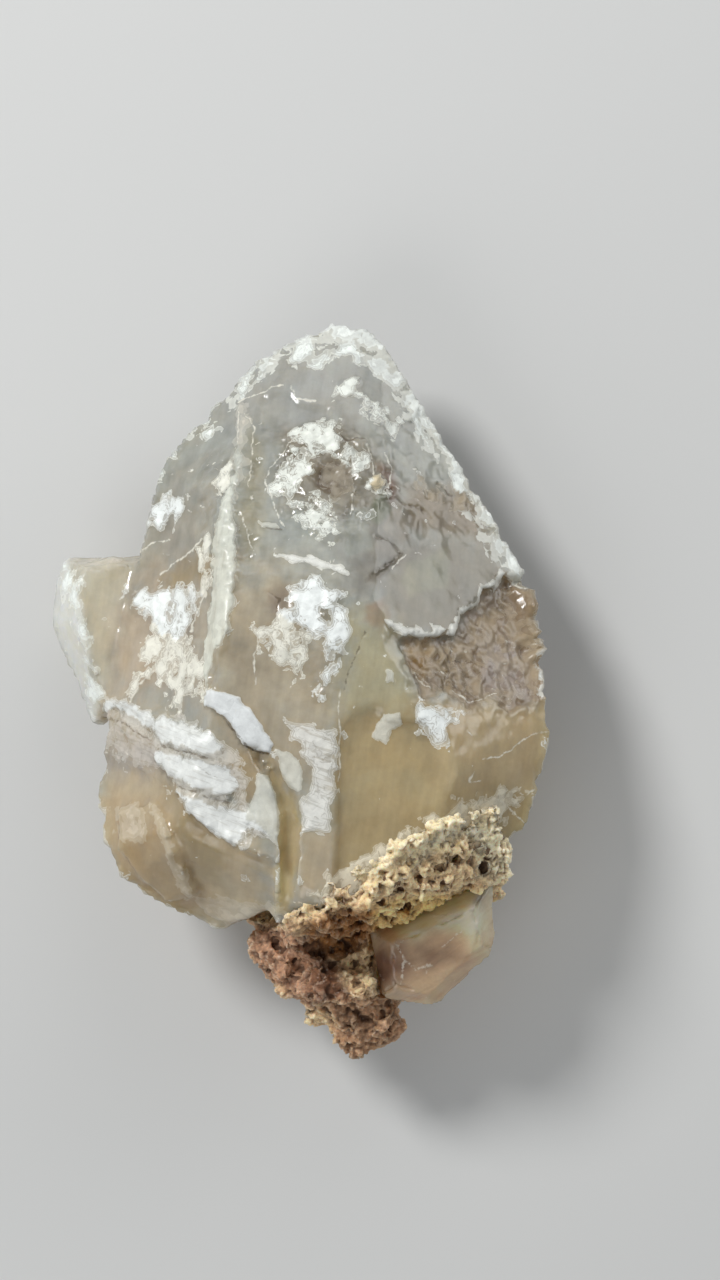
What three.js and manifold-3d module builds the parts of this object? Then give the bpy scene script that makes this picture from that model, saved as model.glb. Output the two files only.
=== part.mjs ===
// A pale citrine crystal with a smaller crystal grown into its left side. Its root is set in a
// crumbly crust of matrix, which also holds a small grey crystal. It lies on its flat back with
// the tip along +Y and the broad front face up. Millimetres.

import * as THREE from "three";
import { ImprovedNoise } from "three/addons/math/ImprovedNoise.js";
import { mergeVertices } from "three/addons/utils/BufferGeometryUtils.js";
import Module from "manifold-3d";

const wasm = await Module();
wasm.setup();

const FRONT_Z = 36; // height of the broad front face
const GAP = 0.3; // between two pieces that touch
const STOCK = 260; // side of the block that each crystal is cut from

// Faces meet in pairs along a rim. Azimuth is in degrees from +X, reach is the distance of the
// rim from the axis and z its height. Front and back are the leans of the two faces from level.
const MAIN_AXIS = [3.5, 7];
const MAIN_RIM = [
  { name: "tip", azimuth: 88, reach: 44.6, z: 17, front: 26, back: 146 },
  { name: "tipRight", azimuth: 60, reach: 42.8, z: 17, front: 40, back: 140 },
  { name: "upperRight", azimuth: 32, reach: 28.9, z: 17, front: 41, back: 128 },
  { name: "right", azimuth: 1, reach: 30.7, z: 23, front: 43, back: 116 },
  { name: "rightCorner", azimuth: -22, reach: 34.6, z: 25, front: 42, back: 118 },
  { name: "lowerRight", azimuth: -41, reach: 37.8, z: 25, front: 46, back: 120 },
  { name: "root", azimuth: -70, reach: 34.2, z: 20, front: 86, back: 118 },
  { name: "lowerLeft", azimuth: -116, reach: 43.4, z: 22, front: 52, back: 128 },
  { name: "leftCorner", azimuth: -147, reach: 42.4, z: 23, front: 46, back: 126 },
  { name: "left", azimuth: 177, reach: 32.6, z: 22, front: 56, back: 118 },
  { name: "upperLeft", azimuth: 166, reach: 28.2, z: 17, front: 52, back: 128 },
  { name: "leftShoulder", azimuth: 138, reach: 33.5, z: 17, front: 50, back: 134 },
  { name: "tipLeft", azimuth: 117, reach: 39.4, z: 17, front: 47, back: 142 },
];
// Edges between two front faces that are worn to a narrow facet, and how deep
const WORN_EDGES = [
  ["tip", "front", 0.6], ["tip", "upperRight", 0.7], ["upperRight", "front", 0.8], ["right", "front", 0.8],
  ["upperRight", "right", 0.5], ["rightCorner", "front", 0.7], ["lowerRight", "front", 0.6],
  ["lowerLeft", "front", 0.7], ["leftCorner", "front", 0.9], ["left", "front", 0.6],
  ["leftShoulder", "tip", 0.2],
];

const SIDE_AXIS = [-29, 9];
const SIDE_RIM = [
  { azimuth: 92, reach: 9.8, z: 12, front: 76, back: 108 }, // top
  { azimuth: 160, reach: 7.2, z: 12, front: 62, back: 124 }, // top corner
  { azimuth: 176, reach: 6, z: 12, front: 60, back: 124 }, // left
  { azimuth: 203, reach: 5.4, z: 12, front: 60, back: 124 }, // lower left
  { azimuth: -70, reach: 13, z: 12, front: 66, back: 118 }, // bottom
  { azimuth: 0, reach: 11, z: 12, front: 90, back: 90 }, // end inside the main crystal
];

const FOOT_AXIS = [19.4, -36];
const FOOT_RIM = [
  { azimuth: 112, reach: 6.6, z: 23, front: 62, back: 98 }, // against the crust
  { azimuth: 4, reach: 8, z: 22, front: 60, back: 112 }, // right
  { azimuth: -46, reach: 5, z: 22.6, front: 56, back: 124 }, // lower right
  { azimuth: -100, reach: 7.4, z: 23, front: 58, back: 116 }, // bottom
  { azimuth: 190, reach: 9, z: 23, front: 60, back: 104 }, // left
];

const ROOT_AXIS = [11.9, -33.2];
const ROOT_RIM = [
  { azimuth: -4, reach: 13.8, z: 16, front: 76, back: 114 }, // right
  { azimuth: -43, reach: 9.4, z: 15, front: 70, back: 124 }, // lower right
  { azimuth: -80, reach: 17, z: 15, front: 58, back: 130 }, // tip of the root
  { azimuth: 220, reach: 15, z: 16, front: 60, back: 122 }, // left
  { azimuth: 110, reach: 20, z: 16, front: 90, back: 90 }, // end inside the crystal
];

// Plan outlines of the relief on the front
const SHELL_OUTLINE = [
  [11.5, 10.1], [14.1, 7.6], [16, 8.2], [17.9, 7.6], [19.4, 8.7], [21.3, 8], [22.3, 11.2], [24.4, 12.4],
  [25.3, 14.3], [27, 14.8], [28.1, 16.5], [40, 16], [40, -12], [14, -12],
];
const GROOVE_OUTLINE = [
  [-7.6, -6], [-5.4, -6.6], [-2.8, -9.4], [-0.6, -12.6], [0.6, -16.8], [0, -22.1], [-0.6, -34],
  [-3.2, -34], [-2.6, -22], [-2.1, -16.9], [-3.2, -13], [-5, -10],
];
const HONEY_OUTLINE = [
  [5.5, -4.2], [8, -2.2], [10, -1.4], [12.6, -3.2], [16, -3.6], [22.1, -3.6], [26, -2], [40, -0.7], [40, -34],
  [4.6, -34],
];
const BAND_OUTLINES = [
  [[-40, -0.6], [-23.2, -1.6], [-18.5, -6.2], [-11.1, -8.6], [-7.4, -10.6], [-6.2, -14], [-5.4, -20],
    [-40, -24]],
  [[-40, -2], [-26.4, -3.7], [-19.8, -9], [-13.1, -12.6], [-8.6, -14.4], [-6.4, -18.5], [-40, -24]],
  [[-40, -8], [-26.5, -8.8], [-17.2, -12.2], [-13.2, -16.9], [-8.2, -20.3], [-2.9, -22.1], [-2.9, -40],
    [-40, -40]],
];
const BAND_STEP = 0.7; // drop from one layer to the next
const MOUND_OUTLINE = [
  [-24.7, -16.1], [-20, -15.3], [-18.6, -17], [-14.1, -27.8], [-18.2, -28.8], [-21.6, -25.7], [-24.7, -21.1],
];
const MOUND_RISE = 1.1;
const BITE_OUTLINES = [
  [[-14.6, 36.8], [-12.5, 37.4], [-12, 39.9], [-16, 43]], // upper left rim
  [[-16.6, -35], [-15.5, -30.8], [-14, -35]], // lower left rim
  [[35.6, -8.6], [33.3, -11.2], [36, -12]], // right corner
];

const CRUST_LEAN = 70; // lean of the outside of the crust from level
const CRUST_ROWS = [
  { from: [0.5, -28.4], to: [18, -17.8], count: 12, size: [0.6, 1.3] }, // along the upper border
  { from: [18, -17.8], to: [27, -15.2], count: 6, size: [0.7, 1.4] },
  { from: [1.5, -30.2], to: [27.6, -18.6], count: 13, size: [0.9, 1.8] },
  { from: [2.5, -31.8], to: [28, -21.8], count: 12, size: [1.1, 2] },
  { from: [4, -33.4], to: [27, -25.4], count: 10, size: [1, 1.9] },
];
const PITS = [
  [11.4, -28], [13.6, -26.6], [19.4, -26.2], [22.9, -26.4], [14.6, -29.2], [21.4, -22.3], [19.2, -23.4],
  [7.3, -29.2], [16.4, -24.8], [25.2, -23.8],
];
const PIT_RADIUS = 0.9;

const noise = new ImprovedNoise();

function toSolid(geometry) {
  const bare = geometry.clone();
  bare.deleteAttribute("normal");
  bare.deleteAttribute("uv");
  const merged = mergeVertices(bare, 1e-4);
  return new wasm.Manifold(new wasm.Mesh({
    numProp: 3,
    vertProperties: Float32Array.from(merged.attributes.position.array),
    triVerts: Uint32Array.from(merged.index.array),
  }));
}

function facePlane(azimuth, lean, [x, y, z]) {
  const turn = THREE.MathUtils.degToRad(azimuth);
  const tilt = THREE.MathUtils.degToRad(lean);
  const flat = Math.sin(tilt);
  const normal = new THREE.Vector3(flat * Math.cos(turn), flat * Math.sin(turn), Math.cos(tilt));
  return new THREE.Plane().setFromNormalAndCoplanarPoint(normal, new THREE.Vector3(x, y, z));
}

// The front and back face of every rim edge
function rimPlanes(rim, [x, y]) {
  return rim.flatMap(({ azimuth, reach, z, front, back }) => {
    const turn = THREE.MathUtils.degToRad(azimuth);
    const edge = [x + reach * Math.cos(turn), y + reach * Math.sin(turn), z];
    return [facePlane(azimuth, front, edge), facePlane(azimuth, back, edge)];
  });
}

function insideOf(solid, plane, grown = 0) {
  return solid.trimByPlane(plane.normal.clone().negate().toArray(), plane.constant - grown);
}

function outsideOf(solid, plane) {
  return solid.trimByPlane(plane.normal.toArray(), -plane.constant);
}

function stock() {
  return toSolid(new THREE.BoxGeometry(STOCK, STOCK, STOCK));
}

function cutCrystal(planes, grown = 0) {
  return planes.reduce((solid, plane) => insideOf(solid, plane, grown), stock());
}

// Height of the front of a crystal above a plan position
function frontHeight(planes, x, y) {
  const front = planes.filter((plane) => plane.normal.z > 0.05);
  const heights = front.map(({ normal, constant }) => -(constant + normal.x * x + normal.y * y) / normal.z);
  return Math.min(...heights);
}

function prism(outline, low, high) {
  const shape = new THREE.Shape(outline.map(([x, y]) => new THREE.Vector2(x, y)));
  const geometry = new THREE.ExtrudeGeometry(shape, { depth: high - low, bevelEnabled: false });
  geometry.translate(0, 0, low);
  return toSolid(geometry);
}

// The largest connected piece, without loose chips or closed pockets
function mainPiece(solid) {
  return solid.decompose().reduce((best, piece) => (piece.volume() > best.volume() ? piece : best));
}

function roll(low, high) {
  return low + (high - low) * THREE.MathUtils.seededRandom();
}

// An angular grain or a rounder lump with an uneven skin
function lump([x, y, z], radius, { detail = 0, rough = 0.5, stretch = [1, 1, 1], turn = 0 } = {}) {
  const ball = new THREE.IcosahedronGeometry(radius, detail);
  ball.deleteAttribute("normal");
  ball.deleteAttribute("uv");
  const skin = mergeVertices(ball, 1e-3);
  const spots = skin.attributes.position;
  const offset = roll(0, 90);
  const spin = new THREE.Euler(roll(0, 3), roll(0, 3), roll(0, 3));
  const spot = new THREE.Vector3();
  for (let i = 0; i < spots.count; i++) {
    spot.fromBufferAttribute(spots, i).applyEuler(spin);
    const wave = spot.clone().multiplyScalar(1.3 / radius);
    spot.multiplyScalar(1 + rough * noise.noise(wave.x + offset, wave.y, wave.z));
    spot.multiply(new THREE.Vector3(...stretch)).applyAxisAngle(new THREE.Vector3(0, 0, 1), turn);
    spots.setXYZ(i, spot.x + x, spot.y + y, spot.z + z);
  }
  return toSolid(skin);
}

// A rough stone that fills a set of planes around a point inside them
function boulder(planes, centre, detail, rough) {
  const ball = new THREE.IcosahedronGeometry(1, detail);
  ball.deleteAttribute("normal");
  ball.deleteAttribute("uv");
  const skin = mergeVertices(ball, 1e-4);
  const spots = skin.attributes.position;
  const middle = new THREE.Vector3(...centre);
  const spot = new THREE.Vector3();
  for (let i = 0; i < spots.count; i++) {
    const ray = spot.fromBufferAttribute(spots, i).clone().normalize();
    const reaches = planes.map((plane) => -plane.distanceToPoint(middle) / plane.normal.dot(ray));
    const reach = Math.min(...reaches.filter((value) => value > 0));
    spot.copy(middle).addScaledVector(ray, reach);
    const wide = noise.noise(spot.x / 4.5, spot.y / 4.5, spot.z / 4.5);
    const fine = noise.noise(spot.x / 1.6, spot.y / 1.6, spot.z / 1.6 + 40);
    spot.addScaledVector(ray, rough * (wide + 0.6 * fine));
    spots.setXYZ(i, spot.x, spot.y, spot.z);
  }
  return toSolid(skin);
}

function pushed(plane, distance) {
  return new THREE.Plane(plane.normal.clone(), plane.constant - distance);
}

function wornEdge(a, b, depth) {
  const normal = a.normal.clone().add(b.normal);
  const span = normal.length();
  return new THREE.Plane(normal.divideScalar(span), (a.constant + b.constant) / span + depth);
}

const mainPlanes = [
  ...rimPlanes(MAIN_RIM, MAIN_AXIS),
  facePlane(90, 1.5, [...MAIN_AXIS, FRONT_Z]), // broad front face
  facePlane(0, 180, [0, 0, 0]), // back face it rests on
];
const mainNames = [...MAIN_RIM.flatMap(({ name }) => [name, `${name}Back`]), "front", "back"];
const mainFace = Object.fromEntries(mainNames.map((name, i) => [name, mainPlanes[i]]));
for (const [a, b, depth] of WORN_EDGES) {
  mainPlanes.push(wornEdge(mainFace[a], mainFace[b], depth));
}
const sidePlanes = [
  ...rimPlanes(SIDE_RIM, SIDE_AXIS),
  facePlane(8, 15, [...SIDE_AXIS, 18]),
  facePlane(180, 172, [...SIDE_AXIS, 4]),
];
const footPlanes = [
  ...rimPlanes(FOOT_RIM, FOOT_AXIS),
  facePlane(-55, 12, [...FOOT_AXIS, 26.5]),
  facePlane(0, 180, [0, 0, 7]),
];

// A hollow on the left: its floor runs out to the rim below a steep riser and above a ledge
function leftHollow() {
  const floor = facePlane(160, 43, [-23.7, 14.9, 17]);
  const riser = facePlane(172, 58, [-10.1, 17.4, 34]);
  const ledge = facePlane(74, 78, [-15, -4.4, 31]);
  return [floor, riser, ledge].reduce(outsideOf, stock());
}

// A lost shell on the upper right with a torn upper border, which runs out downwards
function lostShell() {
  const depths = [[13.8, 7.6, 1.3], [28.2, 16.2, 1.8], [22, -4.2, 0.2]];
  const spots = depths.map(([x, y, depth]) => new THREE.Vector3(x, y, frontHeight(mainPlanes, x, y) - depth));
  const floor = new THREE.Plane().setFromCoplanarPoints(...spots);
  return outsideOf(prism(SHELL_OUTLINE, 0, 60), floor.normal.z > 0 ? floor : floor.negate());
}

// Layers that step down towards the lower left corner
function bandLayer(outline, step) {
  const planes = mainPlanes.filter((plane) => plane.normal.z > 0.05);
  const core = planes.reduce((solid, plane) => insideOf(solid, plane, -BAND_STEP * step), stock());
  return prism(outline, 14, 60).subtract(core);
}

function makeCrystal() {
  THREE.MathUtils.seededRandom(11);
  let solid = cutCrystal(mainPlanes);
  solid = solid.subtract(leftHollow()).subtract(lostShell());
  BAND_OUTLINES.forEach((outline, i) => {
    solid = solid.subtract(bandLayer(outline, i + 1));
  });
  solid = solid.subtract(prism(GROOVE_OUTLINE, FRONT_Z - 1.4, 60));
  solid = solid.subtract(prism(HONEY_OUTLINE, FRONT_Z - 0.6, 60));
  const moundTop = cutCrystal(mainPlanes, MOUND_RISE - 3 * BAND_STEP);
  solid = solid.add(moundTop.intersect(prism(MOUND_OUTLINE, 8, 60)));
  for (const outline of BITE_OUTLINES) {
    solid = solid.subtract(prism(outline, -10, 60));
  }
  // Drusy patches of tiny crystals on the tip face and the front face
  const patches = [
    { centre: [4.6, 30.4], spread: 6.2, count: 26, size: [0.5, 1.3] },
    { centre: [1.6, 9.6], spread: 5, count: 20, size: [0.4, 1] },
    { centre: [12.4, 38], spread: 5, count: 12, size: [0.4, 0.9] },
  ];
  for (const { centre, spread, count, size } of patches) {
    for (let i = 0; i < count; i++) {
      const turn = roll(0, 2 * Math.PI);
      const out = spread * Math.sqrt(roll(0.1, 1));
      const x = centre[0] + out * Math.cos(turn);
      const y = centre[1] + out * Math.sin(turn);
      const radius = roll(...size);
      const z = frontHeight(mainPlanes, x, y) - radius * 0.45;
      solid = solid.add(lump([x, y, z], radius, { stretch: [1.3, 1.3, 1] }));
    }
  }
  return mainPiece(solid.add(cutCrystal(sidePlanes)));
}

function makeMatrix() {
  THREE.MathUtils.seededRandom(23);
  const crustPlanes = [
    facePlane(-70, CRUST_LEAN, [17.2, -31.2, 20]), // outside
    facePlane(-70, 12, [14, -21, FRONT_Z + 1.9]), // top
    facePlane(200, 84, [-3.4, -31, 20]), // left end
    facePlane(6, 90, [28, -21, 20]), // right end
    facePlane(121, 90, [12, -20.9, 20]), // upper border, on the left
    facePlane(105, 90, [20, -16.2, 20]), // upper border, on the right
    facePlane(-70, 145, [15, -25, 8]), // back
    pushed(mainFace.lowerRight, 1.4), // over the lower right face
    pushed(mainFace.rightCorner, 1.2),
  ];
  const rootPlanes = [
    ...rimPlanes(ROOT_RIM, ROOT_AXIS),
    facePlane(-78, 15, [...ROOT_AXIS, 23]),
    facePlane(0, 180, [0, 0, 6]),
  ];
  let solid = boulder(rootPlanes, [...ROOT_AXIS, 14], 8, 1.3);
  solid = solid.add(boulder(crustPlanes, [13, -25, 22], 8, 1.5));
  const knobs = [
    { at: [-2.4, -36.6, 17], radius: 4.6 },
    { at: [1.6, -39.6, 19], radius: 4.2 },
    { at: [-1, -38.4, 11], radius: 4.4 },
    { at: [5, -43.4, 15], radius: 4.4 },
    { at: [8.2, -47.2, 15], radius: 4 },
    { at: [11.2, -45.6, 17], radius: 3.4 },
    { at: [4.4, -40.4, 22], radius: 3.2 },
    { at: [9.6, -40.6, 23], radius: 2.8 },
  ];
  for (const { at, radius } of knobs) {
    solid = solid.add(lump(at, radius, { detail: 2, rough: 0.7 }));
  }
  const cavity = { detail: 2, rough: 0.6, stretch: [1.3, 0.8, 0.9], turn: 0.3 };
  solid = solid.subtract(lump([5, -34.4, 25], 4.6, cavity));
  const skin = crustPlanes.filter((plane) => plane.normal.z > 0.2);
  for (const { from, to, count, size } of CRUST_ROWS) {
    for (let i = 0; i < count; i++) {
      const t = (i + roll(0.1, 0.9)) / count;
      const x = from[0] + (to[0] - from[0]) * t;
      const y = from[1] + (to[1] - from[1]) * t + roll(-0.7, 0.7);
      const radius = roll(...size);
      solid = solid.add(lump([x, y, frontHeight(skin, x, y) - radius * 0.35], radius));
    }
  }
  for (const [x, y] of PITS) {
    const radius = PIT_RADIUS * roll(0.75, 1.35);
    const z = frontHeight(skin, x, y);
    solid = solid.subtract(lump([x, y, z], radius, { detail: 1, stretch: [1, 1, 1.8] }));
  }
  return mainPiece(solid.subtract(cutCrystal(mainPlanes, GAP)).subtract(cutCrystal(footPlanes, GAP)));
}

function toMesh(name, solid, color, roughness) {
  const { vertProperties, triVerts, numProp } = solid.getMesh();
  const geometry = new THREE.BufferGeometry();
  const spots = new Float32Array((vertProperties.length / numProp) * 3);
  for (let i = 0; i < spots.length / 3; i++) {
    spots.set(vertProperties.subarray(i * numProp, i * numProp + 3), i * 3);
  }
  geometry.setAttribute("position", new THREE.BufferAttribute(spots, 3));
  geometry.setIndex(new THREE.BufferAttribute(Uint32Array.from(triVerts), 1));
  const faceted = geometry.toNonIndexed();
  faceted.computeVertexNormals();
  const mesh = new THREE.Mesh(faceted, new THREE.MeshStandardMaterial({ color, roughness, metalness: 0 }));
  mesh.name = name;
  return mesh;
}

const specimen = new THREE.Group();
specimen.name = "citrine_specimen";
specimen.add(toMesh("crystal", makeCrystal(), 0xa49c88, 0.25));
specimen.add(toMesh("matrix", makeMatrix(), 0x9a7c5c, 0.9));
specimen.add(toMesh("foot_crystal", cutCrystal(footPlanes), 0x9d8c72, 0.25));

// The middle of the bottom of the whole piece is the origin
const box = new THREE.Box3().setFromObject(specimen);
const middle = box.getCenter(new THREE.Vector3());
specimen.position.set(-middle.x, -middle.y, -box.min.z);
specimen.updateMatrixWorld(true);

export default specimen;
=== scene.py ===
import math

import bmesh
import bpy
import numpy as np
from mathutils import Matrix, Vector, noise


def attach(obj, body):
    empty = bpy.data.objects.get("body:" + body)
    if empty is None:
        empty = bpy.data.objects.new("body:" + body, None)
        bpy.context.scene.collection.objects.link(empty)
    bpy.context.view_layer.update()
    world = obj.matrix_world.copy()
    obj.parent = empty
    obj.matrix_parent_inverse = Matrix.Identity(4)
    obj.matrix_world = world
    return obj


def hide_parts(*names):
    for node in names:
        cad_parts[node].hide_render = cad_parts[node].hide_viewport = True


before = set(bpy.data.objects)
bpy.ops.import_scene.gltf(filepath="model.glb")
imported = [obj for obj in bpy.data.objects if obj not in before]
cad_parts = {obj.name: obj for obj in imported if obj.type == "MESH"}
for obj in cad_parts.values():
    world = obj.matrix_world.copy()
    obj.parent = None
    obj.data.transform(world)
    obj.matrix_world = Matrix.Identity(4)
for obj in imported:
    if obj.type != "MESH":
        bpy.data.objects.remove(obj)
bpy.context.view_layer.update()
scene = bpy.context.scene
print("frame loaded")

# markings are drawn in plan, as the camera sees the part, on a sheet of 720 x 1280 units
sheet = {
    "eye": (8.68, 7.57, 467.0),  # mm
    "level": 17.0,  # height where one unit is 0.14 mm
    "unit": 0.14,
    "middle": (360.0, 640.0),
    "away": -60.0,  # depth given to what the sheet can't show
}


def srgb(red, green, blue):
    tones = [value / 255 for value in (red, green, blue)]
    return tuple(t / 12.92 if t <= 0.04045 else ((t + 0.055) / 1.055) ** 2.4 for t in tones)


# places on a mesh, and fields over it


def sheetPoints(spots):
    x, y, z = (spots * 1000).T
    eyeX, eyeY, eyeZ = sheet["eye"]
    unit = (eyeZ - z) / (eyeZ - sheet["level"]) * sheet["unit"]
    return np.stack([sheet["middle"][0] + (x - eyeX) / unit, sheet["middle"][1] - (y - eyeY) / unit], 1)


def segmentGap(plan, start, end):
    run = end - start
    along = np.clip(((plan - start) @ run) / max(run @ run, 1e-9), 0, 1)
    return np.linalg.norm(plan - start - along[:, None] * run, axis=1)


def outlineDepth(plan, outline):  # positive inside, in sheet units
    corners = np.array(outline, float)
    gap = np.full(len(plan), 1e9)
    inside = np.zeros(len(plan), bool)
    for start, end in zip(corners, np.roll(corners, -1, axis=0)):
        gap = np.minimum(gap, segmentGap(plan, start, end))
        rise = end[1] - start[1]
        if rise:
            crossing = start[0] + (end[0] - start[0]) * (plan[:, 1] - start[1]) / rise
            inside ^= ((start[1] > plan[:, 1]) != (end[1] > plan[:, 1])) & (plan[:, 0] < crossing)
    return np.where(inside, gap, -gap)


def lineDepth(plan, line, width):  # positive within half a width of an open line
    corners = np.array(line, float)
    gaps = [segmentGap(plan, start, end) for start, end in zip(corners[:-1], corners[1:])]
    return width / 2 - np.min(gaps, axis=0)


def ramp(values, low, high):
    t = np.clip((values - low) / (high - low), 0, 1)
    return t * t * (3 - 2 * t)


def noiseAt(spots, size, seed, octaves=1):  # size is the width of a lump in mm
    shifted = spots * (1000 / size) + seed * 17.3
    return np.array([noise.fractal(Vector(spot), 1.0, 2.0, octaves) for spot in shifted])


def grainsAt(spots, size,
             seed):  # how far each spot is from its grain's centre, and the grain's own number
    found = [noise.voronoi(Vector(spot)) for spot in spots * (1000 / size) + seed * 11.9]
    gaps = np.array([distances[:2] for distances, _ in found])
    return gaps, np.array([noise.cell(points[0] * 9.7) for _, points in found])


def tinted(tone, colour, weight):
    return tone + (np.array(colour) - tone) * weight[:, None]


def spotsOf(mesh):
    flat = np.empty(len(mesh.vertices) * 3)
    mesh.vertices.foreach_get("co", flat)
    return flat.reshape(-1, 3)


def normalsOf(mesh):
    flat = np.empty(len(mesh.vertices) * 3)
    mesh.vertex_normals.foreach_get("vector", flat)
    return flat.reshape(-1, 3)


def pushOut(mesh, spots, normals, rise):  # rise in mm; nothing goes under the floor
    moved = spots + normals * (rise / 1000)[:, None]
    moved[:, 2] = np.maximum(moved[:, 2], 0)
    mesh.vertices.foreach_set("co", moved.ravel())
    mesh.update()
    return moved


def addField(mesh, name, values):
    mesh.attributes.new(name, "FLOAT", "POINT").data.foreach_set("value", values.astype(np.float32))


def addTone(mesh, name, tones):
    opaque = np.concatenate([tones, np.ones((len(tones), 1))], axis=1).ravel()
    colours = mesh.attributes.new(name, "FLOAT_COLOR", "POINT").data
    colours.foreach_set("color", opaque.astype(np.float32))


def relaxed(mesh, spots, rounds):  # average of neighbours, repeated
    pairs = np.empty(len(mesh.edges) * 2, int)
    mesh.edges.foreach_get("vertices", pairs)
    first, second = pairs.reshape(-1, 2).T
    count = np.bincount(pairs, minlength=len(spots))
    size = len(spots)
    for _ in range(rounds):
        total = [np.bincount(first, side[second], size) + np.bincount(second, side[first], size)
                 for side in spots.T]
        spots = np.stack(total, 1) / count[:, None]
    return spots


def bulge(mesh, spots, normals, rounds):  # mm, positive on ridges and negative in hollows
    return ((spots - relaxed(mesh, spots, rounds)) * normals).sum(1) * 1000


def fineCopy(nodeName, pieceName, voxel):
    shape = bmesh.new()
    shape.from_mesh(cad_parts[nodeName].data)
    bmesh.ops.remove_doubles(shape, verts=shape.verts, dist=1e-6)
    coarse = bpy.data.meshes.new(pieceName)
    shape.to_mesh(coarse)
    shape.free()
    piece = bpy.data.objects.new(pieceName, coarse)
    scene.collection.objects.link(piece)
    remesh = piece.modifiers.new("remesh", "REMESH")
    remesh.mode = "VOXEL"
    remesh.voxel_size = voxel
    fine = bpy.data.meshes.new_from_object(piece.evaluated_get(bpy.context.evaluated_depsgraph_get()))
    piece.modifiers.clear()
    piece.data = fine
    bpy.data.meshes.remove(coarse)
    fine.name = pieceName
    return piece


def refineFront(piece, tilt):  # one more cut on what faces up
    shape = bmesh.new()
    shape.from_mesh(piece.data)
    shape.normal_update()
    edges = [edge for edge in shape.edges if all(face.normal.z > tilt for face in edge.link_faces)]
    bmesh.ops.subdivide_edges(shape, edges=edges, cuts=1, use_grid_fill=True)
    shape.to_mesh(piece.data)
    shape.free()


# shader expressions


class Wire:
    def __init__(self, tree, socket=None):
        self.tree = tree
        self.socket = socket

    def node(self, kind, settings=None, inputs=None, out=0):
        made = self.tree.nodes.new(kind)
        for name, value in (settings or {}).items():
            setattr(made, name, value)
        for name, value in (inputs or {}).items():
            if isinstance(value, Wire):
                self.tree.links.new(value.socket, made.inputs[name])
            else:
                made.inputs[name].default_value = value
        return Wire(self.tree, made.outputs[out])

    def math(self, operation, *values):
        return self.node("ShaderNodeMath", {"operation": operation}, dict(enumerate(values)))

    def __add__(self, other):
        return self.math("ADD", self, other)

    def __sub__(self, other):
        return self.math("SUBTRACT", self, other)

    def __rsub__(self, other):
        return self.math("SUBTRACT", other, self)

    def __mul__(self, other):
        return self.math("MULTIPLY", self, other)

    __radd__ = __add__
    __rmul__ = __mul__

    def atLeast(self, other):
        return self.math("MAXIMUM", self, other)

    def step(self, low, high):  # smooth step from 0 at low to 1 at high
        inputs = {0: self, 1: low, 2: high, 3: 0.0, 4: 1.0}
        return self.node("ShaderNodeMapRange", {"interpolation_type": "SMOOTHSTEP"}, inputs)

    def blend(self, first, second):  # two colours by this value
        sides = [side if isinstance(side, Wire) else (*side, 1) for side in (first, second)]
        return self.node("ShaderNodeMix", {"data_type": "RGBA"}, {0: self, 6: sides[0], 7: sides[1]}, 2)

    def shaded(self, amount):  # this colour, brighter or darker
        return self.node("ShaderNodeHueSaturation", {}, {"Value": amount, "Color": self})

    def field(self, name):
        return self.node("ShaderNodeAttribute", {"attribute_name": name}, out="Fac")

    def tone(self, name):
        return self.node("ShaderNodeAttribute", {"attribute_name": name}, out="Color")

    def place(self):
        return self.node("ShaderNodeTexCoord", out="Object")

    def along(self, angle, stretch):  # drawn out along an angle in plan
        inputs = {"Vector": self, "Rotation": (0, 0, math.radians(angle)), "Scale": (stretch, 1, stretch)}
        return self.node("ShaderNodeMapping", {"vector_type": "TEXTURE"}, inputs)

    def lumps(self, size, detail=2.0, rough=0.6, swirl=0.0):  # size in mm
        inputs = {"Vector": self, "Scale": 1000 / size, "Detail": detail, "Roughness": rough,
                  "Distortion": swirl}
        return self.node("ShaderNodeTexNoise", {}, inputs)

    def flakes(self, size):  # one value for each angular flake, size in mm
        colour = self.node("ShaderNodeTexVoronoi", {}, {"Vector": self, "Scale": 1000 / size}, "Color")
        return self.node("ShaderNodeSeparateColor", {}, {"Color": colour})

    def bump(self, strength, depth):  # depth in mm for a height of 1
        inputs = {"Strength": strength, "Distance": depth / 1000, "Height": self}
        return self.node("ShaderNodeBump", {}, inputs)


def newMaterial(name):
    material = bpy.data.materials.new(name)
    material.use_nodes = True
    material.node_tree.nodes.clear()
    return material, Wire(material.node_tree)


def finishMaterial(start, surface, volume=None):
    output = start.tree.nodes.new("ShaderNodeOutputMaterial")
    start.tree.links.new(surface.socket, output.inputs["Surface"])
    if volume:
        start.tree.links.new(volume.socket, output.inputs["Volume"])


# the citrine crystal

citrine = {
    "voxel": 0.00078,
    "wave": 0.18,  # mm, uneven faces
    "chip": 0.6,  # mm, chips along the edges
    "crisp": 0.5,  # mm, gives back the edges that the remesh rounded
    "grey": srgb(156, 157, 148),
    "white": srgb(228, 231, 227),
    "cream": srgb(215, 210, 194),
    "vein": srgb(132, 124, 110),
    "marble": 0.16,  # how streaky the upper faces are
    "cloud": 0.1,  # how much the milkiness comes and goes
    "milk": 1.48,  # how bright the body is
    "hue": np.array([0.035, 0.0, -0.045]),  # warm and cool clouds
    "castBy": (1.4, -2.2),  # how far up and right of its shadow a flake lies
    "wobble": (2.6, 1.4),  # how far markings wander, wide and fine
    # pale edges: frosted chips, and a painted highlight along the edges
    "wornEdge": 0.34,  # mm, how sharp an edge is where it turns pale
    "chipAndGlintHold": 0.4,  # how opaque that is
    "transmission": 0.35,
    "scatter": 0.6,
    "scatterRadius": (0.009, 0.008, 0.006),  # m
    "haze": (0.92, 0.86, 0.68, 1),
    "hazeDensity": 7.0,
}
ior = 1.544  # of quartz
upward = 0.05  # least upward tilt of what the camera sees
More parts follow.
